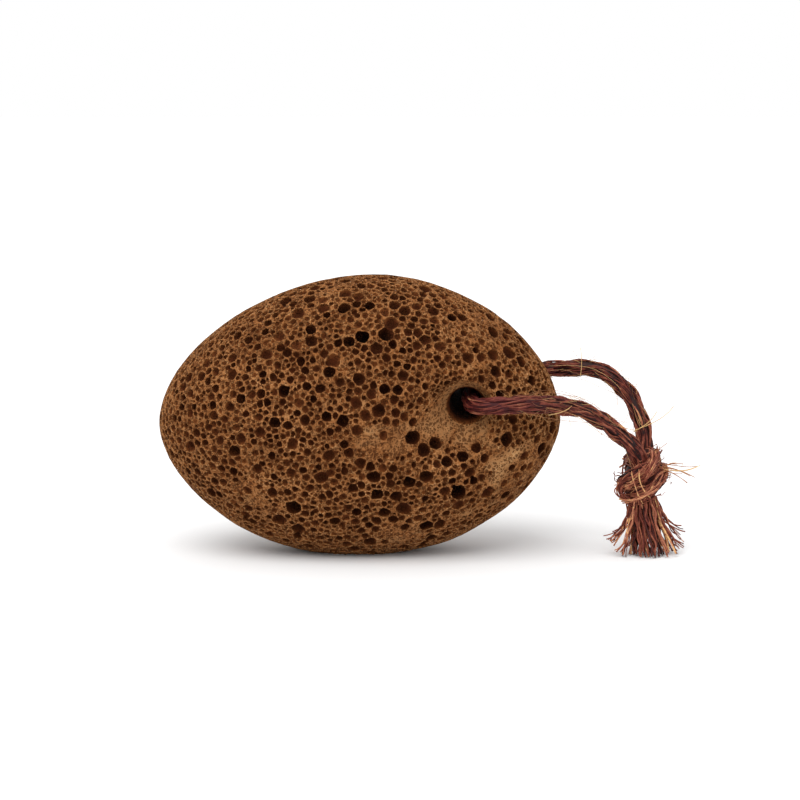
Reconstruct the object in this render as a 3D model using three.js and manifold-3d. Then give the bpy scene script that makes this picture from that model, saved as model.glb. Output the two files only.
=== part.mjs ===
// Oval pumice stone for the bath, on a loop of coir cord that is knotted and frayed at its end.
// The stone stands on a small worn flat on its long edge. The cord goes through a hole drilled
// across the stone near one end, a little higher at the back. Both ends of the cord meet in one
// knot, and are combed out below it into a tassel that touches the same surface as the stone.
//
// Millimetres. X runs along the stone, Y through its thickness and the hole, Z up.
// The origin is on the surface that the stone stands on, under the middle of the stone.

import * as THREE from "three";
import { mergeVertices } from "three/addons/utils/BufferGeometryUtils.js";
import Module from "manifold-3d";

const wasm = await Module();
wasm.setup();

// ---- Driving dimensions -------------------------------------------------------------------

const STONE_LENGTH = 100;
const STONE_THICKNESS = 48;
const STONE_HEIGHT = 70.5; // before the foot is worn flat
const FOOT_WEAR = 1; // how much the flat takes off the bottom edge
const SIDE_TAPER = 0.575; // seen from the side: 0.5 is an ellipse, and more makes leaner ends
const TOP_TAPER = 0.45; // seen from above
const CORD_END_FULLNESS = 0.03; // the height grows by this share from the middle to that end
const FAR_END_DROP = 1.5; // the end away from the cord hangs this much lower
const DROP_STARTS_X = 10;
const DROP_ENDS_X = -35;

const HOLE_X = 26;
const HOLE_Z = 41.4; // in the middle of the stone
const HOLE_SLANT = THREE.MathUtils.degToRad(9.5); // it was drilled by hand and rises to the back
const HOLE_RADIUS = 3.9;
const HOLE_FLARE_FROM = 12.5; // distance from the middle where the worn flare begins
const HOLE_FLARE_ARC = 5; // radius of the flare's curve

const CORD_DIAMETER = 4.6;
const CORD_SIDES = 10;
const CORD_STEPS = 76;

const KNOT_CENTRE = new THREE.Vector3(70.6, -1, 18.7);
const KNOT_TILT = THREE.MathUtils.degToRad(-33); // the wraps climb towards the far side of X
const KNOT_CORE = new THREE.Vector3(5.8, 5.4, 6.4); // half-sizes
const WRAP_RADIUS = 4.5; // from the knot's axis to the middle of a wrapping turn
const WRAP_THICKNESS = 4.8;
const WRAP_SPACING = 4.4;
const WRAP_TURNS = 2;

const TASSEL_TOP = new THREE.Vector3(70, -1.4, 13.6);
const TASSEL_FOOT = new THREE.Vector3(72.4, -5.5, 0);
const TASSEL_NECK_RADIUS = 4;
const TASSEL_FOOT_RADIUS = 7.4;
const TASSEL_SPREAD_CURVE = 1.4; // 1 is a straight cone, and more keeps the spread for the foot
const TASSEL_FLUTES = 11;
const TASSEL_FLUTE_DEPTH = 0.05; // as a share of the radius

const GAP = 0.3; // between pieces that meet

// The middle line of the cord: out of the knot, along the front of the stone, round the mouth
// of the hole and through it, and back behind the stone over a higher arch into the knot again.
const CORD_ROUTE = [
  [70.4, -3.0, 18.6],
  [70.2, -3.5, 21.6],
  [68.8, -4.4, 25.0],
  [66.4, -5.8, 28.2],
  [63.2, -7.7, 31.2],
  [59.8, -9.7, 34.0],
  [55.4, -12.2, 36.7],
  [48.4, -16.2, 38.9],
  [41.4, -20.3, 39.8],
  [36.7, -21.6, 39.8],
  [32.0, -20.3, 39.4],
  [28.5, -16.9, 39.0],
  [27.2, -12.2, 39.5],
  [27.1, -4.0, 40.8],
  [27.1, 4.0, 42.0],
  [27.2, 12.2, 43.3],
  [28.5, 16.9, 43.9],
  [32.0, 20.3, 44.0],
  [36.7, 21.6, 43.7],
  [41.4, 20.3, 43.5],
  [48.4, 16.2, 43.8],
  [55.4, 12.6, 44.5],
  [60.0, 10.5, 44.2],
  [64.0, 8.8, 42.1],
  [67.3, 7.2, 38.8],
  [69.6, 5.6, 34.8],
  [71.0, 4.2, 30.6],
  [71.6, 3.0, 26.4],
  [71.3, 2.2, 22.4],
  [71.0, 1.8, 18.8],
];

// ---- Helpers ------------------------------------------------------------------------------

// A closed three.js geometry as a manifold-3d solid.
function solidFrom(geometry) {
  const bare = geometry.index ? geometry.toNonIndexed() : geometry.clone();
  bare.deleteAttribute("normal");
  bare.deleteAttribute("uv");
  const merged = mergeVertices(bare, 1e-4);
  const corners = merged.index.array;
  const kept = [];
  for (let i = 0; i < corners.length; i += 3) {
    const [a, b, c] = corners.slice(i, i + 3);
    if (a !== b && b !== c && c !== a) kept.push(a, b, c);
  }
  return new wasm.Manifold(
    new wasm.Mesh({
      numProp: 3,
      vertProperties: merged.attributes.position.array,
      triVerts: new Uint32Array(kept),
    }),
  );
}

function geometryFrom(solid) {
  const mesh = solid.getMesh();
  const geometry = new THREE.BufferGeometry();
  geometry.setAttribute("position", new THREE.BufferAttribute(mesh.vertProperties, 3));
  geometry.setIndex(new THREE.BufferAttribute(mesh.triVerts, 1));
  geometry.computeVertexNormals();
  return geometry;
}

function namedMesh(name, geometry, material) {
  const mesh = new THREE.Mesh(geometry, material);
  mesh.name = name;
  return mesh;
}

// ---- Stone --------------------------------------------------------------------------------

// How far the stone reaches at a place along its length, as a share of its widest section.
function girth(x, taper) {
  const along = x / (STONE_LENGTH / 2);
  return Math.max(0, 1 - along ** 2) ** taper;
}

function halfHeight(x) {
  const fullness = 1 + (CORD_END_FULLNESS * x) / (STONE_LENGTH / 2);
  return (STONE_HEIGHT / 2) * girth(x, SIDE_TAPER) * fullness;
}

function halfThickness(x) {
  return (STONE_THICKNESS / 2) * girth(x, TOP_TAPER);
}

function midHeight(x) {
  const dropped = THREE.MathUtils.smoothstep(-x, -DROP_STARTS_X, -DROP_ENDS_X);
  return STONE_HEIGHT / 2 - FOOT_WEAR - FAR_END_DROP * dropped;
}

// An oval body: a round spindle whose every section is stretched to its own height and thickness.
function eggSolid() {
  const rings = 36;
  const aroundSegments = 48;
  const profile = [];
  for (let i = 0; i <= rings; i++) {
    const x = (-STONE_LENGTH / 2) * Math.cos((Math.PI * i) / rings);
    const onAxis = i === 0 || i === rings;
    profile.push(new THREE.Vector2(onAxis ? 0 : 1, x));
  }
  const egg = new THREE.LatheGeometry(profile, aroundSegments).rotateZ(-Math.PI / 2);
  const at = egg.attributes.position;
  for (let i = 0; i < at.count; i++) {
    const x = at.getX(i);
    at.setXYZ(i, x, at.getY(i) * halfThickness(x), at.getZ(i) * halfHeight(x) + midHeight(x));
  }
  return solidFrom(egg);
}

// The drilled hole, straight in the middle and flared where the cord has worn its two mouths.
function holeTool() {
  const reach = STONE_THICKNESS / 2 + 3;
  const flareSteps = 6;
  const half = [];
  for (let i = 0; i <= flareSteps; i++) {
    const y = HOLE_FLARE_FROM + ((reach - HOLE_FLARE_FROM) * i) / flareSteps;
    half.push([HOLE_RADIUS + (y - HOLE_FLARE_FROM) ** 2 / (2 * HOLE_FLARE_ARC), y]);
  }
  const profile = [[0, reach], ...[...half].reverse()];
  profile.push(...half.map(([radius, y]) => [radius, -y]), [0, -reach]);
  const points = profile.reverse().map(([radius, y]) => new THREE.Vector2(radius, y));
  const drill = new THREE.LatheGeometry(points, 32).rotateX(HOLE_SLANT);
  return solidFrom(drill.translate(HOLE_X, 0, HOLE_Z));
}

function stoneGeometry() {
  const below = new THREE.BoxGeometry(2 * STONE_LENGTH, 2 * STONE_THICKNESS, 20);
  const floor = solidFrom(below.translate(0, 0, -10));
  return geometryFrom(eggSolid().subtract(floor).subtract(holeTool()));
}

// ---- Knot ---------------------------------------------------------------------------------

// The turns of the knot round its core. spare makes it fatter, to cut its neighbours clear of it.
function knotSolid(spare) {
  const core = new THREE.SphereGeometry(1, 20, 12);
  core.scale(KNOT_CORE.x + spare, KNOT_CORE.y + spare, KNOT_CORE.z + spare);
  let knot = solidFrom(core);
  for (let turn = 0; turn < WRAP_TURNS; turn++) {
    const height = (turn - (WRAP_TURNS - 1) / 2) * WRAP_SPACING;
    const ring = new THREE.TorusGeometry(WRAP_RADIUS, WRAP_THICKNESS / 2 + spare, 10, 24);
    knot = knot.add(solidFrom(ring.translate(0, 0, height)));
  }
  const tilt = new THREE.Matrix4().makeRotationY(KNOT_TILT);
  tilt.setPosition(KNOT_CENTRE);
  return knot.transform(tilt.elements);
}

// ---- Cord loop ----------------------------------------------------------------------------

function cordSolid() {
  const route = new THREE.CatmullRomCurve3(CORD_ROUTE.map((p) => new THREE.Vector3(...p)));
  const section = new THREE.Shape();
  for (let i = 0; i < CORD_SIDES; i++) {
    const angle = (2 * Math.PI * i) / CORD_SIDES;
    const x = (CORD_DIAMETER / 2) * Math.cos(angle);
    const y = (CORD_DIAMETER / 2) * Math.sin(angle);
    if (i === 0) section.moveTo(x, y);
    else section.lineTo(x, y);
  }
  section.closePath();
  const tube = { steps: CORD_STEPS, extrudePath: route, bevelEnabled: false };
  return solidFrom(new THREE.ExtrudeGeometry(section, tube));
}

// ---- Tassel -------------------------------------------------------------------------------

// The combed-out ends: a neck under the knot that spreads to a fluted skirt on the surface.
function tasselSolid() {
  const rings = 7;
  const profile = [new THREE.Vector2(0, 0)];
  for (let i = 0; i <= rings; i++) {
    const down = 1 - i / rings;
    const spread = (TASSEL_FOOT_RADIUS - TASSEL_NECK_RADIUS) * down ** TASSEL_SPREAD_CURVE;
    profile.push(new THREE.Vector2(TASSEL_NECK_RADIUS + spread, i / rings));
  }
  profile.push(new THREE.Vector2(0, 1));
  const skirt = new THREE.LatheGeometry(profile, 4 * TASSEL_FLUTES).rotateX(Math.PI / 2);
  const at = skirt.attributes.position;
  const centre = new THREE.Vector3();
  for (let i = 0; i < at.count; i++) {
    const height = at.getZ(i);
    const angle = Math.atan2(at.getY(i), at.getX(i));
    const flute = 1 + TASSEL_FLUTE_DEPTH * Math.cos(TASSEL_FLUTES * angle) * (1 - height);
    centre.lerpVectors(TASSEL_FOOT, TASSEL_TOP, height);
    at.setXYZ(i, centre.x + at.getX(i) * flute, centre.y + at.getY(i) * flute, centre.z);
  }
  return solidFrom(skirt);
}

// ---- Assembly -----------------------------------------------------------------------------

const stoneMaterial = new THREE.MeshStandardMaterial({
  color: 0x7a4d2f,
  roughness: 0.95,
  metalness: 0,
});
const cordMaterial = new THREE.MeshStandardMaterial({
  color: 0x74402f,
  roughness: 0.85,
  metalness: 0,
});

const clearOfKnot = knotSolid(GAP);
const pumiceStone = new THREE.Group();
pumiceStone.add(
  namedMesh("stone", stoneGeometry(), stoneMaterial),
  namedMesh("cord_loop", geometryFrom(cordSolid().subtract(clearOfKnot)), cordMaterial),
  namedMesh("cord_knot", geometryFrom(knotSolid(0)), cordMaterial),
  namedMesh("cord_tassel", geometryFrom(tasselSolid().subtract(clearOfKnot)), cordMaterial),
);

export default pumiceStone;
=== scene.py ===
# %% [markdown]
# # A brown pumice stone on a coir cord
#
# The real thing is simple: one oval of natural pumice, drilled near one end, and one length of
# dyed coir cord tied in a knot with its ends combed out. Nearly all of its character is surface.
# The stone is a froth that set, so it is open pores from over 4 mm down to specks. The cord is a
# twist of stiff coconut fibres that never lie quite flat. So the lesson is about carving
# thousands of pores, and about laying down hundreds of fibres without hair or particles.

# %% Load the frame
import math

import bpy
import numpy as np
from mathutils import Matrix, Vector
from mathutils.bvhtree import BVHTree


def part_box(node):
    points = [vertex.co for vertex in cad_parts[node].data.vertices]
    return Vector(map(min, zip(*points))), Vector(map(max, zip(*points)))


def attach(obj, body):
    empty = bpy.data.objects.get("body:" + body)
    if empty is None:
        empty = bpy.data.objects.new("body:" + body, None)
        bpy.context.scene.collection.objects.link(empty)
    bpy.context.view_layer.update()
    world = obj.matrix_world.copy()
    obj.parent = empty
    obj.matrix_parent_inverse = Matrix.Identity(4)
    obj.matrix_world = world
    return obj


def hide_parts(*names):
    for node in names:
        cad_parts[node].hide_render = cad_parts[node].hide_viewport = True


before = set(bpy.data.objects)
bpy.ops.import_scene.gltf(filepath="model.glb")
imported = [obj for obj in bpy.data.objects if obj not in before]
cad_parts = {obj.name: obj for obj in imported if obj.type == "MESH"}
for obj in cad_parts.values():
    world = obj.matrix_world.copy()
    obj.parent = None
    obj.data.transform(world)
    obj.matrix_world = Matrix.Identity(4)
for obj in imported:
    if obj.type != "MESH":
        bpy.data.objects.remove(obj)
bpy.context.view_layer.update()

MM = 0.001
rng = np.random.default_rng(7)
print("solids in the frame:", sorted(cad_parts))

# %% [markdown]
# ## Small helpers
#
# Operators act on whatever is selected, so one helper leaves exactly one object selected. Another
# adds a modifier and applies it at once, because the finished pieces are plain meshes. Colours
# are written as the hex values a painter would pick, and one function makes them linear.

# %% Helpers for objects and colours
def only(obj):
    """Leave obj as the one selected and active object."""
    bpy.ops.object.select_all(action="DESELECT")
    obj.select_set(True)
    bpy.context.view_layer.objects.active = obj


def apply_modifier(obj, kind, **settings):
    """Add a modifier with its settings and make it part of the mesh."""
    only(obj)
    modifier = obj.modifiers.new(kind.lower(), kind)
    for setting, value in settings.items():
        setattr(modifier, setting, value)
    bpy.ops.object.modifier_apply(modifier=modifier.name)


def linear(hex_colour):
    """An sRGB hex colour as the linear RGBA that shaders expect."""
    channels = [int(hex_colour[i:i + 2], 16) / 255 for i in (1, 3, 5)]
    return [c / 12.92 if c <= 0.04045 else ((c + 0.055) / 1.055) ** 2.4 for c in channels] + [1]


def unit(vectors):
    """The same directions with length 1."""
    return vectors / np.linalg.norm(vectors, axis=-1, keepdims=True)


def triangles(obj):
    """How many triangles an object's faces come to."""
    return sum(len(face.vertices) - 2 for face in obj.data.polygons)


# %% [markdown]
# ## Camera
#
# A long lens from half a metre away, 8 degrees above the table, looks straight at the broad side
# of the stone. The aim is between the stone and the knot, so the whole thing sits in the middle.

# %% Camera
CAMERA_AIM = Vector((9.96, 0, 38.0)) * MM
CAMERA_DISTANCE = 0.52
CAMERA_ELEVATION = math.radians(8)
VIEW_WIDTH = 0.19925  # how much is in the frame at the aim
SENSOR = 36  # mm

back = Vector((0, -math.cos(CAMERA_ELEVATION), math.sin(CAMERA_ELEVATION)))
bpy.ops.object.camera_add(location=CAMERA_AIM + back * CAMERA_DISTANCE)
camera = bpy.context.object
camera.rotation_euler = back.to_track_quat("Z", "Y").to_euler()
camera.data.sensor_width = SENSOR
camera.data.lens = SENSOR * CAMERA_DISTANCE / VIEW_WIDTH
bpy.context.scene.camera = camera
print("lens, mm:", round(camera.data.lens, 1))

# %% [markdown]
# ## The cord's route
#
# The cord leaves the knot, runs along the front of the stone, turns into the drilled hole and
# comes back behind the stone over a higher arch. It is one smooth curve through listed points. A
# Catmull-Rom curve goes through every point, and sampling it at equal steps keeps the twist of
# the yarn even.

# %% Route of the cord
CORD_ROUTE = np.array([
    [70.4, -3.0, 18.6],
    [70.2, -3.5, 21.6],
    [68.8, -4.4, 25.0],
    [66.4, -5.8, 28.2],
    [63.2, -7.7, 31.2],
    [59.8, -9.7, 34.0],
    [55.4, -12.2, 36.7],
    [48.4, -16.2, 38.9],
    [41.4, -20.3, 39.8],
    [36.7, -21.6, 39.8],
    [32.0, -20.3, 39.4],
    [28.5, -16.9, 39.0],
    [27.2, -12.2, 39.5],
    [27.1, -4.0, 40.8],
    [27.1, 4.0, 42.0],
    [27.2, 12.2, 43.3],
    [28.5, 16.9, 43.9],
    [32.0, 20.3, 44.0],
    [36.7, 21.6, 43.7],
    [41.4, 20.3, 43.5],
    [48.4, 16.2, 43.8],
    [55.4, 12.6, 44.5],
    [60.0, 10.5, 44.2],
    [64.0, 8.8, 42.1],
    [67.3, 7.2, 38.8],
    [69.6, 5.6, 34.8],
    [71.0, 4.2, 30.6],
    [71.6, 3.0, 26.4],
    [71.3, 2.2, 22.4],
    [71.0, 1.8, 18.8],
]) * MM


def lengths_along(line):
    """The distance along a line from its start to each of its points."""
    steps = np.linalg.norm(np.diff(line, axis=0), axis=1)
    return np.concatenate([[0], np.cumsum(steps)])


def smooth_line(points, step):
    """A centripetal Catmull-Rom curve through the points, sampled at equal steps."""
    ends = [2 * points[0] - points[1], *points, 2 * points[-1] - points[-2]]
    fine = []
    for a, b, c, d in zip(ends, ends[1:], ends[2:], ends[3:]):
        t = np.cumsum([0] + [np.linalg.norm(q - p) ** 0.5 for p, q in ((a, b), (b, c), (c, d))])
        u = np.linspace(t[1], t[2], 16, endpoint=False)[:, None]
        ab = ((t[1] - u) * a + (u - t[0]) * b) / (t[1] - t[0])
        bc = ((t[2] - u) * b + (u - t[1]) * c) / (t[2] - t[1])
        cd = ((t[3] - u) * c + (u - t[2]) * d) / (t[3] - t[2])
        abc = ((t[2] - u) * ab + (u - t[0]) * bc) / (t[2] - t[0])
        bcd = ((t[3] - u) * bc + (u - t[1]) * cd) / (t[3] - t[1])
        fine.extend(((t[2] - u) * abc + (u - t[1]) * bcd) / (t[2] - t[1]))
    fine = np.array(fine + [points[-1]])
    so_far = lengths_along(fine)
    even = np.linspace(0, so_far[-1], round(so_far[-1] / step) + 1)
    return np.stack([np.interp(even, so_far, fine[:, axis]) for axis in range(3)], axis=1)


def carried_frame(line):
    """Two directions square to the line, carried along it without twisting."""
    ahead = unit(np.gradient(line, axis=-2))
    start = np.where(np.abs(ahead[..., :1, 2:]) < 0.9, [0.0, 0.0, 1.0], [1.0, 0.0, 0.0])
    side = unit(np.cross(ahead[..., 0, :], start[..., 0, :]))
    sides = np.empty_like(line)
    for k in range(line.shape[-2]):
        along = ahead[..., k, :]
        side = unit(side - np.sum(side * along, axis=-1, keepdims=True) * along)
        sides[..., k, :] = side
    return sides, np.cross(ahead, sides)


cord_line = smooth_line(CORD_ROUTE, 1.05 * MM)

# %% [markdown]
# ## Fibres as tubes
#
# Every fibre is a tube of three to five sides along its own wandering line. Hundreds of them are
# worked out together as arrays and joined in one mesh, which keeps them as real geometry for any
# program that reads the file. Each fibre carries a shade number, so that the colour can change from
# fibre to fibre, as dye takes differently on each one. Strands that lie deeper in a bundle get lower
# numbers as well, which is painted shade.

# %% Helpers for fibres
def wander(count, along, shortest, longest, size):
    """A smooth random drift for each of count fibres, along its length."""
    drift = np.zeros((count, len(along)))
    for _ in range(3):
        wave = rng.uniform(shortest, longest, (count, 1))
        drift += np.sin(2 * np.pi * (along / wave + rng.random((count, 1))))
    return size * drift / 3


def tubes(lines, radii, shades, sides=4):
    """Closed tubes along lines (fibre, point, xyz), as corners, faces and a shade per corner."""
    count, points, _ = lines.shape
    across, up = carried_frame(lines)
    turn = 2 * np.pi * np.arange(sides) / sides
    ring = across[:, :, None] * np.cos(turn)[:, None] + up[:, :, None] * np.sin(turn)[:, None]
    corners = lines[:, :, None] + ring * np.broadcast_to(radii, (count, points))[:, :, None, None]
    number = np.arange(count * points * sides).reshape(count, points, sides)
    after = np.roll(number, -1, axis=2)
    walls = np.stack([number[:, :-1], after[:, :-1], after[:, 1:], number[:, 1:]], axis=-1)
    faces = walls.reshape(-1, 4).tolist()
    faces += number[:, 0, ::-1].tolist() + number[:, -1].tolist()
    shades = np.broadcast_to(shades, (count, points))
    return corners.reshape(-1, 3), faces, np.repeat(shades.ravel(), sides)


def fibre_mesh(name, bundles):
    """One object from several sets of tubes."""
    corners, faces, shades = [], [], []
    for bundle_corners, bundle_faces, bundle_shades in bundles:
        start = sum(len(c) for c in corners)
        faces += [[start + corner for corner in face] for face in bundle_faces]
        corners.append(bundle_corners)
        shades.append(bundle_shades)
    mesh = bpy.data.meshes.new(name)
    mesh.from_pydata(np.concatenate(corners).tolist(), [], faces)
    mesh.attributes.new("shade", "FLOAT", "POINT").data.foreach_set("value", np.concatenate(shades))
    obj = bpy.data.objects.new(name, mesh)
    bpy.context.collection.objects.link(obj)
    only(obj)
    bpy.ops.object.shade_smooth()
    print(name, "triangles:", triangles(obj))
    return obj


# %% [markdown]
# ## The cord
#
# Coir cord is laid up softly from three loose plies that wind round each other about once in
# 24 mm. In each ply the fibres wind the other way, so on the surface they run almost along the
# cord. Single fibres are 0.1 to 0.3 mm thick and cling together, so each strand here drifts with
# its clump. A core in the darkest colour closes the gaps, and strands that lie deeper are painted
# darker; both are painted shade. The path that every strand keeps to is the route.

# %% Cord
PLIES = 3
CORD_LAY = 24 * MM
PLY_LAY = 36 * MM
PLY_OFFSET = 0.78 * MM
PLY_RADIUS = 1.36 * MM
CLUMPS_PER_PLY = 11
STRANDS_PER_PLY = 39
CORD_CORE_RADIUS = 1.7 * MM


def laid_cord(line):
    """The strands of a three-ply cord along a line."""
    along = lengths_along(line)
    across, up = carried_frame(line)
    bundles = []
    for ply in range(PLIES):
        turn = 2 * np.pi * (along / CORD_LAY + ply / PLIES)
        clump = rng.integers(0, CLUMPS_PER_PLY, STRANDS_PER_PLY)
        out = PLY_RADIUS * np.sqrt(rng.uniform(0.55, 1, (STRANDS_PER_PLY, 1)))
        out = out + wander(CLUMPS_PER_PLY, along, 9 * MM, 24 * MM, 0.3 * MM)[clump]
        out = out + wander(STRANDS_PER_PLY, along, 5 * MM, 14 * MM, 0.12 * MM)
        around = clump[:, None] / CLUMPS_PER_PLY + rng.normal(0, 0.022, (STRANDS_PER_PLY, 1))
        around = 2 * np.pi * (around - along / PLY_LAY)
        around = around + wander(CLUMPS_PER_PLY, along, 10 * MM, 28 * MM, 0.55)[clump]
        around = around + wander(STRANDS_PER_PLY, along, 6 * MM, 16 * MM, 0.28)
        u = PLY_OFFSET * np.cos(turn) + out * np.cos(around)
        v = PLY_OFFSET * np.sin(turn) + out * np.sin(around)
        lines = line + u[:, :, None] * across + v[:, :, None] * up
        thickness = rng.uniform(0.12, 0.21, (STRANDS_PER_PLY, 1)) * MM
        thickness = thickness + wander(STRANDS_PER_PLY, along, 5 * MM, 14 * MM, 0.05 * MM)
        shades = 0.35 * rng.random(CLUMPS_PER_PLY)[clump] + 0.53 * rng.random(STRANDS_PER_PLY)
        # Strands that lie deeper in the cord get a lower shade and come out darker: painted shade.
        shades = shades[:, None] + 0.4 * (np.hypot(u, v) / MM - 1.95)
        bundles.append(tubes(lines, thickness, shades))
    # A core in the darkest colour closes the gaps between the plies: painted shade.
    core = tubes(line[None], np.full((1, 1), CORD_CORE_RADIUS), np.zeros((1, 1)), sides=8)
    return bundles + [core]


cord = fibre_mesh("coir_cord", laid_cord(cord_line))

# %% [markdown]
# ## The knot
#
# Both legs of the cord go into one overhand knot. What shows of it is a fat bundle that goes
# round twice, climbing towards the far side, so it is built as a helix of strands round a tilted
# axis. Over it lie a tucked end, a few loose strands that cross the front, and broken fibres.

# %% Knot
KNOT_CENTRE = np.array([70.6, -1.0, 18.7]) * MM
KNOT_TILT = math.radians(-33)
KNOT_AXIS = np.array([math.sin(KNOT_TILT), 0, math.cos(KNOT_TILT)])
KNOT_RIGHT = np.array([math.cos(KNOT_TILT), 0, -math.sin(KNOT_TILT)])
KNOT_BACK = np.array([0.0, 1.0, 0.0])
WRAP_RADIUS = 4.5 * MM
WRAP_RISE = 4.4 * MM  # from one turn to the next
WRAP_TURNS = 2.03
WRAP_START = math.radians(100)
BUNDLE_HALF_WIDTH = 1.9 * MM
BUNDLE_HALF_HEIGHT = 2.05 * MM
KNOT_STRANDS = 130
KNOT_CORE_SIZE = (4.6 * MM, 4.4 * MM, 5.0 * MM)


def on_knot(turn, out, rise):
    """Places round the knot: an angle, a distance from its axis and a height along it."""
    flat = np.cos(turn)[..., None] * KNOT_RIGHT + np.sin(turn)[..., None] * KNOT_BACK
    return KNOT_CENTRE + out[..., None] * flat + rise[..., None] * KNOT_AXIS


def knot_wraps():
    """The fat bundle of strands that goes round the knot's axis."""
    share = np.linspace(0, 1, 84)
    ends = rng.normal(0, 0.16, (KNOT_STRANDS, 2))
    first, last = WRAP_START, WRAP_START - 2 * np.pi * WRAP_TURNS
    turn = (first + ends[:, :1]) * (1 - share) + (last + ends[:, 1:]) * share
    along = share * 2 * np.pi * WRAP_RADIUS * WRAP_TURNS
    out = np.sqrt(rng.uniform(0.3, 1, (KNOT_STRANDS, 1)))
    around = 2 * np.pi * (rng.random((KNOT_STRANDS, 1)) + share * 0.45)
    around = around + wander(KNOT_STRANDS, along, 8 * MM, 24 * MM, 0.75)
    bumps = 0.35 * MM * np.sin(2 * turn + 0.6)
    bumps = bumps + wander(KNOT_STRANDS, along, 5 * MM, 15 * MM, 0.24 * MM)
    radial = WRAP_RADIUS + BUNDLE_HALF_WIDTH * out * np.cos(around) + bumps
    sway = wander(KNOT_STRANDS, along, 6 * MM, 18 * MM, 0.3 * MM)
    rise = WRAP_RISE * WRAP_TURNS * (0.5 - share) * 0.92
    rise = rise + BUNDLE_HALF_HEIGHT * out * np.sin(around) + sway
    thickness = rng.uniform(0.17, 0.3, (KNOT_STRANDS, 1)) * MM
    # Strands on the inner side of the bundle come out darker and those on its outer side lighter:
    # painted shade.
    shades = 0.9 * rng.random((KNOT_STRANDS, 1)) + 0.3 * out * np.cos(around) - 0.12
    return tubes(on_knot(turn, radial, rise), thickness, shades)


def knot_core():
    """A ball in the darkest colour that closes the gaps between the wraps: painted shade."""
    bpy.ops.mesh.primitive_ico_sphere_add(subdivisions=3, radius=1)
    ball = bpy.context.object
    ball.scale = KNOT_CORE_SIZE
    bpy.ops.object.transform_apply(location=False, rotation=False, scale=True)
    corners = np.array([v.co for v in ball.data.vertices]) + KNOT_CENTRE
    faces = [list(face.vertices) for face in ball.data.polygons]
    bpy.data.objects.remove(ball)
    return corners, faces, np.zeros(len(corners))


def bezier(a, b, c, d, share):
    """Cubic Bezier curves, one for each row of the four control points."""
    share = share[None, :, None]
    a, b, c, d = (p[:, None] for p in (a, b, c, d))
    back = 1 - share
    return back ** 3 * a + 3 * back ** 2 * share * b + 3 * back * share ** 2 * c + share ** 3 * d


def near(route, count, spread, share):
    """Lines that all follow a start, two middles and an end in mm, each a little off."""
    off = rng.normal(0, 1, (4, count, 3)) * np.array(spread)[:, None, None] * MM
    return bezier(*(np.array(route)[:, None] * MM + off), share)


def fan(route, count, spread, thin, thick, shades):
    """Strands near a route that get thinner towards their tips."""
    share = np.linspace(0, 1, 14)
    lines = near(route, count, spread, share)
    radii = rng.uniform(thin, thick, (count, 1)) * MM * (1 - 0.35 * share)
    return tubes(lines, radii, rng.uniform(*shades, (count, 1)))


def broken_fibres(count):
    """Short ends that lift off the wraps and curl."""
    share = np.linspace(0, 1, 9)
    start_turn = rng.uniform(-math.pi, 0.2, (count, 1))
    reach = rng.uniform(0.5, 1.3, (count, 1)) * rng.choice([-1, 1], (count, 1))
    turn = start_turn + reach * share
    lift = 0.2 + rng.uniform(0.3, 1.2, (count, 1)) * share ** 1.6
    radial = WRAP_RADIUS + 1.75 * MM + lift * MM
    rise = rng.uniform(-5.2, 4.6, (count, 1)) - reach * share * 0.7
    rise = rise * MM + wander(count, share * 8 * MM, 3 * MM, 9 * MM, 0.7 * MM) * share
    squeeze = np.sqrt(np.maximum(1 - (rise / (8.4 * MM)) ** 2, 0.3))
    radii = rng.uniform(0.07, 0.17, (count, 1)) * MM * (1 - 0.4 * share)
    shades = 0.4 + 0.55 * rng.random((count, 1))
    return tubes(on_knot(turn, radial * squeeze, rise), radii, shades)


knot = fibre_mesh("coir_knot", [
    knot_wraps(),
    knot_core(),
    broken_fibres(60),
    # the tucked end: in at the top right, down over the front and into the knot
    fan([(73.3, -3.2, 25.4), (72.9, -8.2, 23.8), (71.0, -8.8, 20.8), (69.8, -5.5, 18.4)],
        38, (0.8, 0.8, 0.7, 0.7), 0.15, 0.27, (0.15, 0.95)),
    # the shoulder that covers the top between the two legs
    fan([(68.4, 4.8, 17.6), (66.4, 3.2, 23.0), (67.0, -2.4, 24.8), (70.8, -6.4, 21.4)],
        46, (0.9, 1.0, 1.0, 0.9), 0.15, 0.27, (0.45, 0.97)),
    # frayed loops at the left edge
    fan([(67.4, -4.8, 19.2), (63.6, -5.6, 18.4), (63.2, -5.4, 14.4), (67.0, -5.4, 13.6)],
        34, (0.8, 0.8, 0.8, 0.8), 0.13, 0.24, (0.3, 0.85)),
    # four pale strands over the front, and three along the lower edge
    fan([(67.2, -6.6, 21.0), (67.2, -9.3, 18.6), (68.4, -9.6, 16.4), (69.8, -7.6, 13.6)],
        2, (0.5, 0.3, 0.3, 0.5), 0.11, 0.15, (0.9, 0.98)),
    fan([(68.6, -7.0, 21.4), (68.4, -9.6, 19.2), (69.6, -9.8, 16.8), (71.6, -7.6, 14.8)],
        2, (0.5, 0.3, 0.3, 0.5), 0.11, 0.15, (0.88, 0.97)),
    fan([(65.2, -6.0, 13.6), (67.2, -8.6, 13.8), (70.0, -9.3, 15.0), (73.0, -8.0, 17.6)],
        3, (0.4, 0.4, 0.4, 0.5), 0.15, 0.22, (0.84, 0.97)),
])

# %% [markdown]
# ## The tassel
#
# Below the knot the plies are combed out. Each strand starts in the neck and leaves the knot
# straight down, then spreads, and most of them end on the table. Bundles of them splay further
# at the edges and stop short of it. A Bezier curve per strand gives that in one formula, and a
# crimp on top, because fibre that has been in a twist keeps its waves.

# %% Tassel
TASSEL_TOP = np.array([70.0, -1.4, 15.0]) * MM
TASSEL_FOOT = np.array([72.4, -5.5, 0.0]) * MM
TASSEL_NECK = 3.6 * MM
TASSEL_SPREAD = 6.4 * MM
TASSEL_STRANDS = 104


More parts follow.
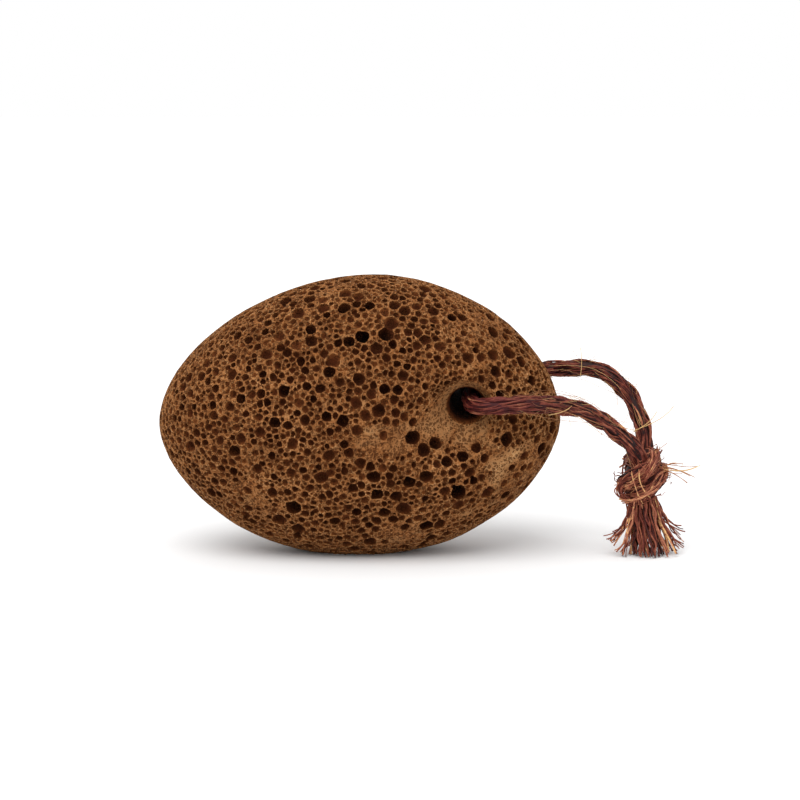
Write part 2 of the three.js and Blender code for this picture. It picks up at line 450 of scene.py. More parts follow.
def crimped(lines, size):
    """Lines with waves across them that grow from the first point on."""
    count, points, _ = lines.shape
    share = np.linspace(0, 1, points)
    waves = np.zeros_like(lines)
    for axis in range(3):
        waves[:, :, axis] = wander(count, share * 15 * MM, 4.5 * MM, 13 * MM, size)
    return lines + waves * np.minimum(1, share * 3)[:, None] * np.array([1, 1, 0.3])


def tassel_strands(count, spread, lift, thin, thick):
    """Strands from the neck to tips that spread by a share and end at a height."""
    share = np.linspace(0, 1, 24)
    turn = rng.uniform(0, 2 * np.pi, count)
    inside = np.sqrt(rng.uniform(0.02, 1, count))
    flat = np.stack([np.cos(turn), np.sin(turn), np.zeros(count)], axis=1)
    start = TASSEL_TOP + flat * (TASSEL_NECK * inside)[:, None]
    reach = TASSEL_SPREAD * inside * rng.uniform(*spread, count)
    tip = TASSEL_FOOT + flat * reach[:, None]
    tip[:, :2] += rng.normal(0, 0.6 * MM, (count, 2))
    tip[:, 2] = rng.uniform(*lift, count)
    axis = TASSEL_FOOT - TASSEL_TOP
    lower = start + axis * 0.35 + flat * 0.2 * MM
    before_tip = tip - axis * 0.3 - flat * (reach * 0.3)[:, None]
    lines = crimped(bezier(start, lower, before_tip, tip, share), 0.55 * MM)
    thickness = rng.uniform(thin, thick, (count, 1)) * (1 - 0.2 * share)
    lines[:, :, 2] = np.maximum(lines[:, :, 2], 1.3 * thickness)
    # Strands near the tassel's middle get lower shades and come out darker: painted shade.
    shades = 0.95 * rng.random(count) + 0.3 * (inside - 0.7)
    return tubes(lines, thickness, shades[:, None], sides=5)


def splayed(route, count, spread):
    """A loose bundle at the tassel's edge."""
    share = np.linspace(0, 1, 18)
    lines = crimped(near(route, count, spread, share), 0.4 * MM)
    thickness = rng.uniform(0.15, 0.26, (count, 1)) * MM * (1 - 0.3 * share)
    lines[:, :, 2] = np.maximum(lines[:, :, 2], 1.3 * thickness)
    return tubes(lines, thickness, rng.uniform(0.25, 0.95, (count, 1)), sides=5)


tassel = fibre_mesh("coir_tassel", [
    tassel_strands(TASSEL_STRANDS, (0.75, 1.1), (0.1 * MM, 1.6 * MM), 0.2 * MM, 0.34 * MM),
    splayed([(67.6, -4.5, 14), (67.2, -6.2, 9.5), (65.6, -7, 6.2), (62.2, -7.6, 4)],
            11, (0.5, 0.5, 0.6, 0.9)),
    splayed([(68.4, -4.5, 14), (67.4, -6.8, 8), (66.4, -7.8, 4), (64.6, -8.6, 1.2)],
            8, (0.5, 0.5, 0.6, 0.8)),
    splayed([(73, -2.5, 14.4), (74.6, -3.2, 10.5), (77.2, -3.4, 6.6), (80, -3.4, 4.8)],
            10, (0.5, 0.6, 0.7, 1.0)),
    splayed([(73, -3.2, 14), (74.8, -4.4, 9), (77, -5.2, 4), (79.4, -6, 1)],
            9, (0.5, 0.5, 0.6, 0.9)),
])

# %% [markdown]
# ## Stray fibres
#
# Coir never combs quite clean: pale hairs stand off the cord, long ones trail beside it, and a
# tuft sticks out beside the knot. They are much thinner than the strands, and some took hardly
# any dye.

# %% Stray fibres
HAIRS_FROM_X = 37 * MM  # nearer the hole the cord is rubbed smooth
KNOT_SAMPLES = 12  # as much of the cord's line as each end hides in the knot


def hairs_on_cord(count, low, high):
    """Short curved hairs that leave the cord's surface at a low angle."""
    share = np.linspace(0, 1, 9)
    across, up = carried_frame(cord_line)
    ahead = np.cross(across, up)
    outside = np.flatnonzero(cord_line[:, 0] > HAIRS_FROM_X)
    at = rng.choice(outside[(outside > 10) & (outside < len(cord_line) - 10)], count)
    turn = rng.uniform(0, 2 * np.pi, count)
    out = across[at] * np.cos(turn)[:, None] + up[at] * np.sin(turn)[:, None]
    length = rng.uniform(low, high, count)[:, None]
    way = ahead[at] * rng.choice([-1, 1], (count, 1))
    start = cord_line[at] + out * 1.7 * MM
    bend = unit(rng.normal(size=(count, 3)))
    middle_1 = start + way * length * 0.4 + out * 0.4 * MM
    middle_2 = start + way * length * 0.7 + out * length * 0.25 + bend * length * 0.15
    tip = start + way * length * 0.9 + out * length * 0.45 + bend * length * 0.35
    lines = bezier(start, middle_1, middle_2, tip, share)
    radii = rng.uniform(0.03, 0.06, (count, 1)) * MM * (1 - 0.4 * share)
    return tubes(lines, radii, rng.random((count, 1)), sides=3)


def hairs_beside_cord(count, first, last):
    """Long hairs that bow off the cord and come back to it, between two samples of its line."""
    across, up = carried_frame(cord_line)
    share = np.linspace(0, 1, 24)
    lines = []
    for _ in range(count):
        start = rng.choice([rng.uniform(first, first + 14), rng.uniform(last - 62, last - 22)])
        end = start + rng.uniform(14, 22)
        at = np.linspace(round(start), round(end), len(share))
        turn = rng.uniform(0, 2 * np.pi)
        out = 1.9 * MM + rng.uniform(0.8, 2.6) * MM * np.sin(np.pi * share) ** 0.8
        samples = np.arange(len(cord_line))
        middle, side, top = (
            np.stack([np.interp(at, samples, way[:, axis]) for axis in range(3)], axis=1)
            for way in (cord_line, across, up))
        around = turn + 0.5 * share
        offset = np.cos(around)[:, None] * side + np.sin(around)[:, None] * top
        lines.append(middle + out[:, None] * offset)
    radii = rng.uniform(0.035, 0.055, (count, 1)) * MM
    return tubes(np.array(lines), radii, rng.random((count, 1)), sides=3)


PALE = (0.75, 1)
BROWN = (0, 0.45)
STEADY = (0.1, 0.1, 0.1, 0.1)  # hardly off their route
TUFT_ROOT = (74.4, -3.6, 21.4)
strays = fibre_mesh("stray_fibres", [
    hairs_on_cord(210, 2 * MM, 6.5 * MM),
    hairs_beside_cord(16, KNOT_SAMPLES, len(cord_line) - KNOT_SAMPLES),
    # two pale ones that cross the back leg above the knot, one upright, one along the front leg
    fan([(68.4, 2.0, 29.6), (70.4, 1.8, 31.0), (72.6, 1.4, 31.9), (74.3, 1.0, 35.0)],
        1, STEADY, 0.1, 0.11, PALE),
    fan([(68.7, 1.8, 30.0), (71.8, 1.8, 31.2), (75.4, 1.0, 32.6), (78.2, 0.2, 36.3)],
        1, STEADY, 0.1, 0.11, PALE),
    fan([(55.5, 8.6, 42.8), (55.8, 7.4, 45.0), (55.9, 7.6, 48.0), (55.3, 8.0, 50.3)],
        1, STEADY, 0.08, 0.09, PALE),
    fan([(45.6, -18.4, 37.0), (47.6, -19.2, 37.2), (50.2, -17.6, 37.8), (51.4, -16.4, 38.9)],
        1, STEADY, 0.12, 0.13, PALE),
    fan([(51.0, -14.6, 37.0), (50.7, -14.8, 35.6), (51.4, -14.4, 34.4), (51.5, -14.0, 33.0)],
        1, STEADY, 0.05, 0.06, PALE),
    # the tuft beside the knot: two pale ends, nine brown ones and a long fine hook
    fan([TUFT_ROOT, (77.0, -4.0, 21.8), (80.6, -3.6, 19.8), (84.4, -3.2, 22.2)],
        2, (0.6, 0.5, 0.4, 0.5), 0.09, 0.14, PALE),
    fan([TUFT_ROOT, (77.4, -4.2, 22.2), (80.0, -4.0, 20.8), (83.0, -3.4, 20.6)],
        3, (0.6, 0.5, 0.5, 0.8), 0.1, 0.16, BROWN),
    fan([TUFT_ROOT, (76.8, -4.6, 21.0), (78.8, -4.6, 19.6), (81.0, -4.2, 18.6)],
        3, (0.6, 0.4, 0.5, 0.7), 0.1, 0.16, BROWN),
    fan([TUFT_ROOT, (77.4, -3.6, 23.0), (78.2, -3.6, 22.6), (79.4, -3.6, 22.4)],
        3, (0.6, 0.4, 0.4, 0.6), 0.08, 0.13, BROWN),
    fan([(79.6, -3.8, 21.0), (81.0, -2.6, 22.6), (80.4, -1.0, 25.4), (79.0, 0.0, 28.6)],
        1, STEADY, 0.05, 0.06, PALE),
    # frayed tips above the knot on its far side
    fan([(72.4, -2.6, 23.6), (73.2, -2.8, 24.8), (73.8, -3.0, 25.8), (74.4, -3.2, 26.8)],
        12, (0.8, 0.7, 0.7, 0.8), 0.07, 0.14, BROWN),
])

# %% [markdown]
# ## The fibres take the place of the cord's solids
#
# The meshes replace the plain solids of cord, knot and tassel.

cord_pieces = {cord: "cord_loop", knot: "cord_knot", tassel: "cord_tassel"}
for piece, node in cord_pieces.items():
    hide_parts(node)
for piece in (cord, knot, tassel, strays):
    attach(piece, "root")
print("fibre triangles:", sum(triangles(piece) for piece in (cord, knot, tassel, strays)))

# %% [markdown]
# ## The stone's body
#
# The stone was ground to an oval, so it starts as an icosphere, whose even triangles have no
# poles. Each section is stretched to the same taper as the solid it stands for. Slow dents of a
# fraction of a millimetre take away the look of a turned part. The bottom is cut off level where
# the stone has worn.

# %% Stone body
stone_low, stone_high = (np.array(corner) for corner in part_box("stone"))
HALF_LENGTH = (stone_high[0] - stone_low[0]) / 2
HALF_THICKNESS = (stone_high[1] - stone_low[1]) / 2
FOOT_WEAR = 1.0 * MM
HALF_HEIGHT = 35.25 * MM
SIDE_TAPER = 0.575
TOP_TAPER = 0.45
CORD_END_FULLNESS = 0.03
FAR_END_DROP = 1.5 * MM
DROP_STARTS_X = 10 * MM
DROP_ENDS_X = -35 * MM


def egg(points):
    """Points of a unit sphere moved to the stone's oval surface."""
    along, side, high = points.T
    round_part = np.maximum(1 - along ** 2, 1e-9)
    x = along * HALF_LENGTH
    y = side * HALF_THICKNESS * round_part ** (TOP_TAPER - 0.5)
    z = high * HALF_HEIGHT * round_part ** (SIDE_TAPER - 0.5) * (1 + CORD_END_FULLNESS * along)
    dropped = np.clip((DROP_STARTS_X - x) / (DROP_STARTS_X - DROP_ENDS_X), 0, 1)
    dropped = dropped ** 2 * (3 - 2 * dropped)
    return np.stack([x, y, z + HALF_HEIGHT - FOOT_WEAR - FAR_END_DROP * dropped], axis=1)


bpy.ops.mesh.primitive_ico_sphere_add(subdivisions=5, radius=1)
stone = bpy.context.object
stone.name = stone.data.name = "pumice_stone"
sphere = np.array([vertex.co for vertex in stone.data.vertices])
stone.data.vertices.foreach_set("co", egg(sphere).ravel())

dents = bpy.data.textures.new("slow_dents", "CLOUDS")
dents.noise_scale = 0.014
dents.noise_depth = 2
apply_modifier(stone, "DISPLACE", texture=dents, texture_coords="GLOBAL", strength=0.7 * MM,
               mid_level=0.55)
bpy.ops.object.mode_set(mode="EDIT")
bpy.ops.mesh.select_all(action="SELECT")
bpy.ops.mesh.bisect(plane_co=(0, 0, 0), plane_no=(0, 0, 1), use_fill=True, clear_inner=True)
bpy.ops.object.mode_set(mode="OBJECT")
print("body triangles:", triangles(stone))

# %% [markdown]
# ## The drilled hole
#
# The hole is drilled by hand, so it isn't square to the stone: it rises to the back. The cord has
# worn both mouths wide. A cylinder is given rings near its ends, each ring is widened by how far
# it lies past the straight part, and the shape is then taken out of the stone.

# %% Drilled hole
HOLE = Vector((26.0, 0, 41.4)) * MM
HOLE_SLANT = math.radians(9.5)
HOLE_RADIUS = 3.9 * MM
HOLE_FLARE_FROM = 12.5 * MM
HOLE_FLARE_ARC = 5 * MM
HOLE_REACH = HALF_THICKNESS + 3 * MM
HOLE_AXIS = np.array([0, math.cos(HOLE_SLANT), math.sin(HOLE_SLANT)])


def from_hole_axis(places):
    """How far places are from the hole's axis, and how far along it from the middle."""
    offset = places - np.array(HOLE)
    along = offset @ HOLE_AXIS
    return np.linalg.norm(offset - along[..., None] * HOLE_AXIS, axis=-1), along


bpy.ops.mesh.primitive_cylinder_add(vertices=56, radius=HOLE_RADIUS, depth=2 * HOLE_REACH)
drill = bpy.context.object
bpy.ops.object.mode_set(mode="EDIT")
for height in np.linspace(HOLE_FLARE_FROM, HOLE_REACH - 1 * MM, 9):
    for side in (-1, 1):
        bpy.ops.mesh.select_all(action="SELECT")
        bpy.ops.mesh.bisect(plane_co=(0, 0, side * height), plane_no=(0, 0, 1))
bpy.ops.object.mode_set(mode="OBJECT")
for vertex in drill.data.vertices:
    past_straight = max(abs(vertex.co.z) - HOLE_FLARE_FROM, 0)
    vertex.co.xy *= 1 + past_straight ** 2 / (2 * HOLE_FLARE_ARC * HOLE_RADIUS)
drill.location = HOLE
drill.rotation_euler = (HOLE_SLANT - math.pi / 2, 0, 0)
apply_modifier(stone, "BOOLEAN", operation="DIFFERENCE", solver="MANIFOLD", object=drill)
bpy.data.objects.remove(drill)
print("body with its hole, triangles:", triangles(stone))

# %% [markdown]
# ## Pores
#
# Gas bubbles froze in the rock, and grinding sliced through them. Cutting the body with one
# bubble after another gives what slicing gives: crisp rims, round floors and undercut walls. The
# wide ones are placed first and each new one takes a free place among them. Then every bubble
# swells until it meets a thin wall halfway to each neighbour, so where they crowd they turn into
# many-sided cells, as froth does. Bubbles that don't touch are joined and cut in one go.

# %% Where the pores are
WORN_ROUND_HOLE = 7.2 * MM  # the cord has polished the skin this far from the hole's axis
WORN_OF_SPECKS = 5.9 * MM  # and rubbed even the smallest pores away this far
PORE_WIDTHS = ((4.1, 10), (3.5, 28), (2.9, 80), (2.4, 200), (2.0, 340), (1.65, 560), (1.35, 1000),
               (1.1, 1600), (0.9, 1800))
MOST_PORES = sum(count for _, count in PORE_WIDTHS)


def surface_of(obj):
    """Corners, normals and running share of the area of an object's triangles."""
    mesh = obj.data
    mesh.calc_loop_triangles()
    points = np.array([vertex.co for vertex in mesh.vertices])
    corners = points[np.array([triangle.vertices for triangle in mesh.loop_triangles])]
    across = np.cross(corners[:, 1] - corners[:, 0], corners[:, 2] - corners[:, 0])
    area = np.linalg.norm(across, axis=1) / 2
    keep = area > 1e-12
    return corners[keep], unit(across[keep]), np.cumsum(area[keep])


def random_places(count):
    """Random places spread evenly over the stone, with the surface's normals."""
    face = np.searchsorted(area_so_far, rng.random(count) * area_so_far[-1])
    u, v = np.sort(rng.random((2, count)), axis=0)
    a, b, c = (surface_corners[face, k] for k in range(3))
    return a * u[:, None] + b * (v - u)[:, None] + c * (1 - v)[:, None], surface_normals[face]


def allowed(places, radius):
    """No pores in the worn mouths of the hole, few wide ones at the far end, and fewer small
    ones in slow patches and towards the cord's end, where more of the ground skin is left."""
    from_axis, _ = from_hole_axis(places)
    worn = WORN_ROUND_HOLE if radius > 0.55 * MM else WORN_OF_SPECKS
    far_end = np.clip((-places[:, 0] - 14 * MM) / (34 * MM), 0, 0.9)
    cord_end = np.clip((places[:, 0] + 10 * MM) / (60 * MM), 0.05, 0.6)
    patches = np.sin(places @ PATCH_WAVES.T + PATCH_STARTS).sum(axis=1) / 4
    too_wide = (radius > 1.0 * MM) & (rng.random(len(places)) < far_end)
    skipped = (radius < 0.9 * MM) & (rng.random(len(places)) < cord_end + patches)
    return (from_axis > worn + radius) & ~too_wide & ~skipped


PATCH_WAVES = unit(rng.normal(size=(5, 3))) * 2 * np.pi / rng.uniform(12, 30, (5, 1)) / MM
PATCH_STARTS = rng.uniform(0, 2 * np.pi, 5)
surface_corners, surface_normals, area_so_far = surface_of(stone)
pore_places = np.zeros((MOST_PORES, 3))
pore_normals = np.zeros((MOST_PORES, 3))
pore_radii = np.zeros(MOST_PORES)
placed = 0
for width, count in PORE_WIDTHS:
    for _ in range(count):
        radius = width / 2 * rng.uniform(0.87, 1.13) * MM
        wall = -0.4 * radius if rng.random() < 0.1 else 0.02 * MM
        places, normals = random_places(40)
        apart = np.linalg.norm(places[:, None] - pore_places[None, :placed], axis=2)
        clear = (apart > pore_radii[:placed] + radius + wall).all(axis=1)
        good = np.flatnonzero(clear & allowed(places, radius))
        if len(good):
            pore_places[placed] = places[good[0]]
            pore_normals[placed] = normals[good[0]]
            pore_radii[placed] = radius
            placed += 1
pore_places, pore_normals, pore_radii = (a[:placed] for a in (pore_places, pore_normals, pore_radii))
opening = np.pi * np.sum(pore_radii ** 2) / area_so_far[-1]
print("pores:", placed, "share of the surface that is open:", round(opening, 2))

# %% Bubbles that cut the pores
WALL = 0.2 * MM
SWELL = 1.24  # how much wider a bubble is than its place, before its neighbours press on it
CAVITY_RADIUS = 1.7 * MM
PORE_RADIUS = 0.6 * MM
LOBED_FLOOR_RADIUS = 0.95 * MM  # wider bubbles have smaller ones in their floors


def unit_ball(subdivisions):
    """Corners and faces of an icosphere of radius 1."""
    bpy.ops.mesh.primitive_ico_sphere_add(subdivisions=subdivisions, radius=1)
    ball = bpy.context.object
    corners = np.array([vertex.co for vertex in ball.data.vertices])
    faces = np.array([face.vertices[:] for face in ball.data.polygons])
    bpy.data.objects.remove(ball)
    return corners, faces


BALLS = {"speck": unit_ball(1), "pore": unit_ball(2), "cavity": unit_ball(3)}


def bubble(centre, radius, planes):
    """A lumpy ball, fine enough for its size, pressed flat against its (way, distance) planes."""
    size = "cavity" if radius > CAVITY_RADIUS else "pore" if radius > PORE_RADIUS else "speck"
    corners, faces = BALLS[size]
    turn, _ = np.linalg.qr(rng.normal(size=(3, 3)))
    if np.linalg.det(turn) < 0:
        turn[:, 0] *= -1
    corners = corners @ turn
    reach = 1 + rng.uniform(-0.04, 0.04, len(corners))
    for waves in (1.8, 3.4):
        reach += 0.09 * np.sin(waves * corners @ unit(rng.normal(size=3)) + rng.uniform(0, 6.3))
    reach = reach * radius
    ways, distances = planes
    if len(ways):
        facing = corners @ ways.T
        limits = np.where(facing > 0.08, distances / np.maximum(facing, 0.08), 1.0)
        reach = np.minimum(reach, limits.min(axis=1))
    return corners * reach[:, None] + centre, faces


slice_angle = rng.uniform(-0.7, 0.45, placed)
radii = pore_radii / np.cos(slice_angle)
centres = pore_places - pore_normals * (radii * np.sin(slice_angle))[:, None]
bubbles = []
for i in range(placed):
    apart = np.linalg.norm(centres - centres[i], axis=1)
    near = np.flatnonzero((apart < 1.6 * (radii + radii[i])) & (apart > 0))
    near = near[(near + i) % 7 > 0]  # one pair in seven has no wall and runs together
    halfway = radii[i] + (apart[near] - radii[i] - radii[near] - WALL) / 2
    ways = (centres[near] - centres[i]) / apart[near][:, None]
    bubbles.append((centres[i], radii[i] * SWELL, (ways, np.maximum(halfway, 0.45 * radii[i]))))
for i in np.flatnonzero(radii > LOBED_FLOOR_RADIUS):
    for _ in range(rng.integers(1, 4)):
        way = unit(-pore_normals[i] + rng.normal(0, 0.55, 3))
        small = radii[i] * rng.uniform(0.2, 0.4)
        bubbles.append((centres[i] + way * radii[i] * 0.97, small, ((), ())))

bubble_centres = np.array([centre for centre, _, _ in bubbles])
bubble_radii = np.array([radius for _, radius, _ in bubbles])
batch = np.full(len(bubbles), -1)
for i in range(len(bubbles)):
    apart = np.linalg.norm(bubble_centres[:i] - bubble_centres[i], axis=1)
    taken = set(batch[:i][apart < (bubble_radii[:i] + bubble_radii[i]) * 1.2])
    batch[i] = next(number for number in range(len(bubbles)) if number not in taken)
print("bubbles:", len(bubbles), "in batches of", np.bincount(batch).tolist())

# %% Cut the pores
smooth_skin = BVHTree.FromPolygons([vertex.co.copy() for vertex in stone.data.vertices],
                                   [face.vertices[:] for face in stone.data.polygons])
for number in range(batch.max() + 1):
    corners, faces = [], []
    for i in np.flatnonzero(batch == number):
        ball_corners, ball_faces = bubble(*bubbles[i])
        faces.append(ball_faces + sum(len(c) for c in corners))
        corners.append(ball_corners)
    mesh = bpy.data.meshes.new("bubbles")
    mesh.from_pydata(np.concatenate(corners).tolist(), [], np.concatenate(faces).tolist())
    cutter = bpy.data.objects.new("bubbles", mesh)
    bpy.context.collection.objects.link(cutter)
    apply_modifier(stone, "BOOLEAN", operation="DIFFERENCE", solver="MANIFOLD", object=cutter)
    bpy.data.objects.remove(cutter)
print("carved stone, triangles:", triangles(stone))

# %% [markdown]
# ## Thin the mesh and note how deep each point lies
#
# The cuts leave slivers of triangles in the skin. Collapsing the least useful edges thins them
# and keeps the rims, which stay sharp because edges that turn by more than 50 degrees aren't
# smoothed over. Then each point gets its depth under the smooth skin in millimetres: a pore is
# painted darker with depth, as painted shade, and paler at its rims, partly rubbed wear and partly
# a painted highlight.

# %% Finish the mesh
MOST_TRIANGLES = 194_000
if triangles(stone) > MOST_TRIANGLES:
    apply_modifier(stone, "DECIMATE", ratio=MOST_TRIANGLES / triangles(stone))
only(stone)
bpy.ops.object.shade_smooth_by_angle(angle=math.radians(50))

points = np.array([vertex.co for vertex in stone.data.vertices])
depth = np.array([smooth_skin.find_nearest(Vector(point))[3] for point in points]) / MM
from_axis, along_axis = from_hole_axis(points)
# Points inside the drilled bore count as up to 4 mm deep, so the bore is painted dark: painted
# shade.
painted_bore_depth = np.clip((15 * MM - np.abs(along_axis)) / MM, 0, 4)
depth = np.where(from_axis < HOLE_RADIUS + 0.6 * MM, np.maximum(depth, painted_bore_depth), depth)
stone.data.attributes.new("shade_depth_mm", "FLOAT", "POINT").data.foreach_set("value", depth)
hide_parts("stone")
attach(stone, "root")
print("finished stone, triangles:", triangles(stone), "deepest, mm:", round(depth.max(), 2))

# %% [markdown]
# ## Materials
#
# Every material is a Principled BSDF with nodes in front of it. One function adds a node with its
# settings and links, so that a material reads from top to bottom as a list of what feeds what.

# %% Helpers for materials
def add(tree, kind, links=None, **settings):
    """Add a node, set its properties and inputs, and link sockets into it."""
    node = tree.nodes.new("ShaderNode" + kind)
    for name, value in settings.items():
        if hasattr(node, name):
            setattr(node, name, value)
        else:
            node.inputs[name.replace("_", " ")].default_value = value
    for name, socket in (links or {}).items():
        tree.links.new(socket, node.inputs[name])
    return node


def ramp(tree, factor, stops):
    """A colour ramp with (position, hex colour) stops."""
    node = add(tree, "ValToRGB", {"Fac": factor})
    elements = node.color_ramp.elements
    while len(elements) < len(stops):
        elements.new(0.5)
    for element, (position, colour) in zip(elements, stops):
        element.position = position
        element.color = linear(colour)
    return node.outputs["Color"]


def new_material(name):
    """An empty material and its node tree."""
    material = bpy.data.materials.new(name)
    material.use_nodes = True
    material.node_tree.nodes.clear()
    return material, material.node_tree


def finish_material(tree, colour, normal, **settings):
    """The shader, with its colour and relief, and the output."""
    shader = add(tree, "BsdfPrincipled", {"Base Color": colour, "Normal": normal})
    for name, value in settings.items():
        shader.inputs[name.replace("_", " ")].default_value = value
    add(tree, "OutputMaterial", {"Surface": shader.outputs["BSDF"]})


# %% [markdown]
# ## Tumbled brown pumice
#
# Pumice is volcanic glass blown to froth, here stained brown by iron. The ground skin is matt and
# mealy, a mix of tan and red-brown grains about 0.3 mm across. The rims are paler, partly rubbed
# and partly a painted highlight. Down in the pores the colour is painted darker with depth, falling
# to near black within 2 mm: painted shade. Bubbles under 0.8 mm are too many to cut, so Voronoi
# cells of two sizes draw them as pits with thin walls, painted dark as painted shade.

# %% Pumice
def froth_pits(tree, place, cell, wall, share):
    """Many-sided pits, one to a cell of a given share of cells: 1 in a pit and 0 on the walls."""
    cells = add(tree, "TexVoronoi", {"Vector": place}, Scale=1 / cell)
    walls = add(tree, "TexVoronoi", {"Vector": place}, Scale=1 / cell, feature="DISTANCE_TO_EDGE")
    chance = add(tree, "SeparateColor", {"Color": cells.outputs["Color"]}).outputs["Red"]
    chosen = add(tree, "Math", {0: chance}, operation="LESS_THAN")
    chosen.inputs[1].default_value = share
    floor = add(tree, "MapRange", {"Value": walls.outputs["Distance"]}, From_Min=wall,
                From_Max=wall + 0.12, interpolation_type="SMOOTHSTEP")
    return add(tree, "Math", {0: floor.outputs["Result"], 1: chosen.outputs["Value"]},
               operation="MULTIPLY").outputs["Value"]


def scaled(tree, value, factor, offset=0.0):
    """A value times a factor plus an offset."""
    node = add(tree, "Math", {0: value}, operation="MULTIPLY_ADD")
    node.inputs[1].default_value = factor
    node.inputs[2].default_value = offset
    return node.outputs["Value"]


def mixed(tree, share, first, second):
    """The first colour where share is 0 and the second where it is 1."""
    node = add(tree, "Mix", {"Factor": share}, data_type="RGBA")
    for socket, colour in ((node.inputs[6], first), (node.inputs[7], second)):
        if isinstance(colour, str):
            socket.default_value = linear(colour)
        else:
            tree.links.new(colour, socket)
    return node.outputs[2]


def pumice():
    material, tree = new_material("tumbled_brown_pumice")
    place = add(tree, "TexCoord").outputs["Object"]
    deep = add(tree, "Attribute", attribute_name="shade_depth_mm").outputs["Fac"]

    patches = add(tree, "TexNoise", {"Vector": place}, Scale=1 / 0.012, Detail=3.0, Roughness=0.6)
    grains = add(tree, "TexNoise", {"Vector": place}, Scale=1 / 0.0006, Detail=3.0, Roughness=0.8)
    patchy = scaled(tree, patches.outputs["Fac"], 0.35)
    tone = add(tree, "Math", {0: patchy, 1: grains.outputs["Fac"]}, operation="ADD")
    tone = add(tree, "MapRange", {"Value": tone.outputs["Value"]}, From_Min=0.46, From_Max=0.9)
    skin = ramp(tree, tone.outputs["Result"],
                [(0.0, "#45210c"), (0.3, "#6d4120"), (0.55, "#84522b"), (0.8, "#a06b40"),
                 (1.0, "#c89667")])

    # Colour by depth below the skin: a pale rim, partly wear and partly a painted highlight, then
    # painted shade that falls to near black 2.4 mm down.
    ragged = scaled(tree, grains.outputs["Fac"], 0.5, -0.25)
    down = add(tree, "Math", {0: deep, 1: ragged}, operation="ADD")
    down = add(tree, "MapRange", {"Value": down.outputs["Value"]}, From_Min=0.0, From_Max=2.4)
    inside = ramp(tree, down.outputs["Result"],
                  [(0.0, "#c59766"), (0.05, "#945f34"), (0.14, "#683a1b"), (0.35, "#46200c"),
                   (0.7, "#270e03"), (1.0, "#100400")])
    in_pore = add(tree, "MapRange", {"Value": deep}, From_Min=0.0, From_Max=0.05)
    colour = mixed(tree, in_pore.outputs["Result"], skin, inside)

    wide_pits = froth_pits(tree, place, 0.95 * MM, 0.1, 0.6)
    fine_pits = froth_pits(tree, place, 0.5 * MM, 0.12, 0.5)
    pits = add(tree, "Math", {0: wide_pits, 1: fine_pits}, operation="MAXIMUM").outputs["Value"]
    # The small pits are painted dark brown: painted shade for pores too small to cut.
    pits_painted_dark = mixed(tree, scaled(tree, pits, 0.75), colour, "#40200b")

    relief = add(tree, "Math", {0: scaled(tree, pits, -0.7), 1: grains.outputs["Fac"]},
                 operation="ADD")
    bump = add(tree, "Bump", {"Height": relief.outputs["Value"]}, Strength=0.8, Distance=0.5 * MM)
    finish_material(tree, pits_painted_dark, bump.outputs["Normal"], Roughness=0.95, Specular_IOR_Level=0.08)
    return material


stone.data.materials.clear()
stone.data.polygons.foreach_set("material_index", [0] * len(stone.data.polygons))
stone.data.materials.append(pumice())
print("nodes in the pumice:", len(stone.data.materials[0].node_tree.nodes))

# %% [markdown]
# ## Dyed coir
#
# Coir is a stiff, woody fibre with a dull shine along it. A red-brown dye took unevenly: most
# strands are dark chestnut, and one in ten kept the straw colour. The shade number on each strand
# picks its colour, and fine noise streaks it. In the hole's lee the dye is less rubbed and redder.

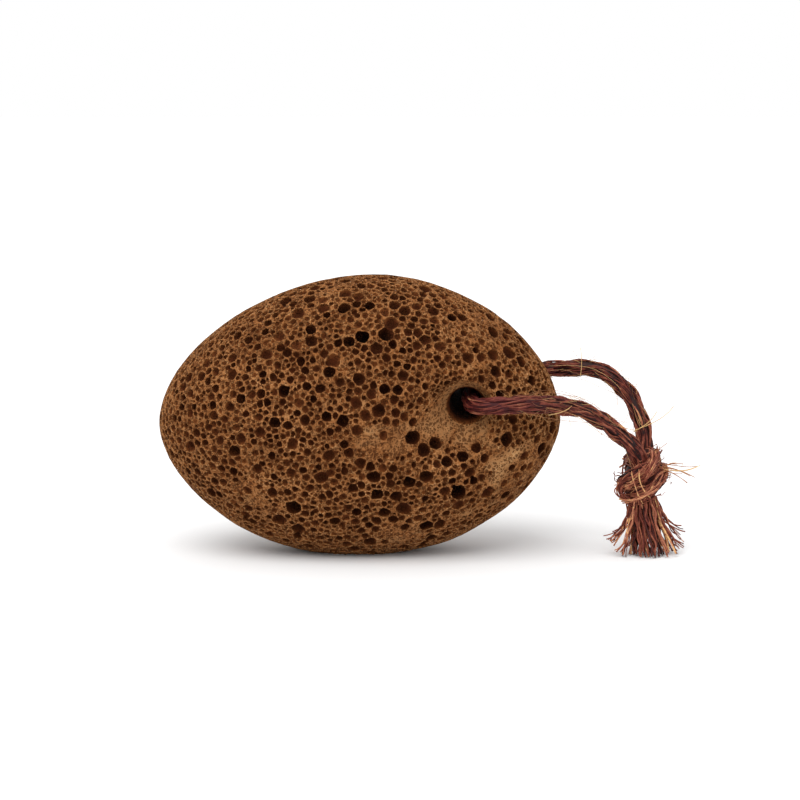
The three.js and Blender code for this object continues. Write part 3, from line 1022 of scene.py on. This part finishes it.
# %% Coir
def coir(name, stops):
    material, tree = new_material(name)
    place = add(tree, "TexCoord").outputs["Object"]
    shade = add(tree, "Attribute", attribute_name="shade").outputs["Fac"]
    streaks = add(tree, "TexNoise", {"Vector": place}, Scale=1 / 0.0011, Detail=4.0, Roughness=0.7)
    streaky = scaled(tree, streaks.outputs["Fac"], 0.9, -0.45)
    tone = add(tree, "Math", {0: streaky, 1: shade}, operation="ADD", use_clamp=True)
    colour = ramp(tree, tone.outputs["Value"], stops)
    along = add(tree, "SeparateXYZ", {"Vector": place}).outputs["X"]
    fresh = add(tree, "MapRange", {"Value": along}, From_Min=56 * MM, From_Max=34 * MM, To_Max=0.35)
    colour = mixed(tree, fresh.outputs["Result"], colour, "#5c1a20")
    bump = add(tree, "Bump", {"Height": streaks.outputs["Fac"]}, Strength=0.5, Distance=0.2 * MM)
    finish_material(tree, colour, bump.outputs["Normal"], Roughness=0.6, Specular_IOR_Level=0.25)
    return material


CHESTNUT = [(0.0, "#1d0503"), (0.2, "#43150f"), (0.45, "#6c2f22"), (0.7, "#8f4f39"),
            (0.88, "#b07053"), (0.96, "#c99064"), (1.0, "#dfae74")]
STRAW = [(0.0, "#8a4d33"), (0.35, "#a9714a"), (0.7, "#cfa068"), (1.0, "#e3bd80")]
dyed = coir("chestnut_dyed_coir", CHESTNUT)
for piece in (cord, knot, tassel):
    piece.data.materials.append(dyed)
strays.data.materials.append(coir("half_dyed_coir_hair", STRAW))
print("fibre materials:", dyed.name, strays.data.materials[0].name)

# %% [markdown]
# ## Table and light
#
# A plain white table and an even white surround, with one broad soft light from above and a
# little in front. The lit table comes out as white as the surround, so the two meet with no edge
# and only the soft shadow shows.

# %% Table and light
bpy.ops.mesh.primitive_plane_add(size=40)
table = bpy.context.object
table.name = "table"
white, white_tree = new_material("matt_white_table")
shader = add(white_tree, "BsdfPrincipled", Base_Color=(0.85, 0.85, 0.85, 1), Roughness=1.0)
shader.inputs["Specular IOR Level"].default_value = 0
add(white_tree, "OutputMaterial", {"Surface": shader.outputs["BSDF"]})
table.data.materials.append(white)

world = bpy.data.worlds.new("white_surround")
bpy.context.scene.world = world
world.use_nodes = True
world.node_tree.nodes["Background"].inputs["Color"].default_value = (1, 1, 1, 1)
world.node_tree.nodes["Background"].inputs["Strength"].default_value = 1.0

bpy.ops.object.light_add(type="SUN", rotation=(math.radians(28), math.radians(-14), 0))
sun = bpy.context.object
sun.data.energy = 1.75
sun.data.angle = math.radians(50)
bpy.context.scene.view_settings.view_transform = "Standard"
print("light strength:", sun.data.energy, "width, degrees:", round(math.degrees(sun.data.angle)))
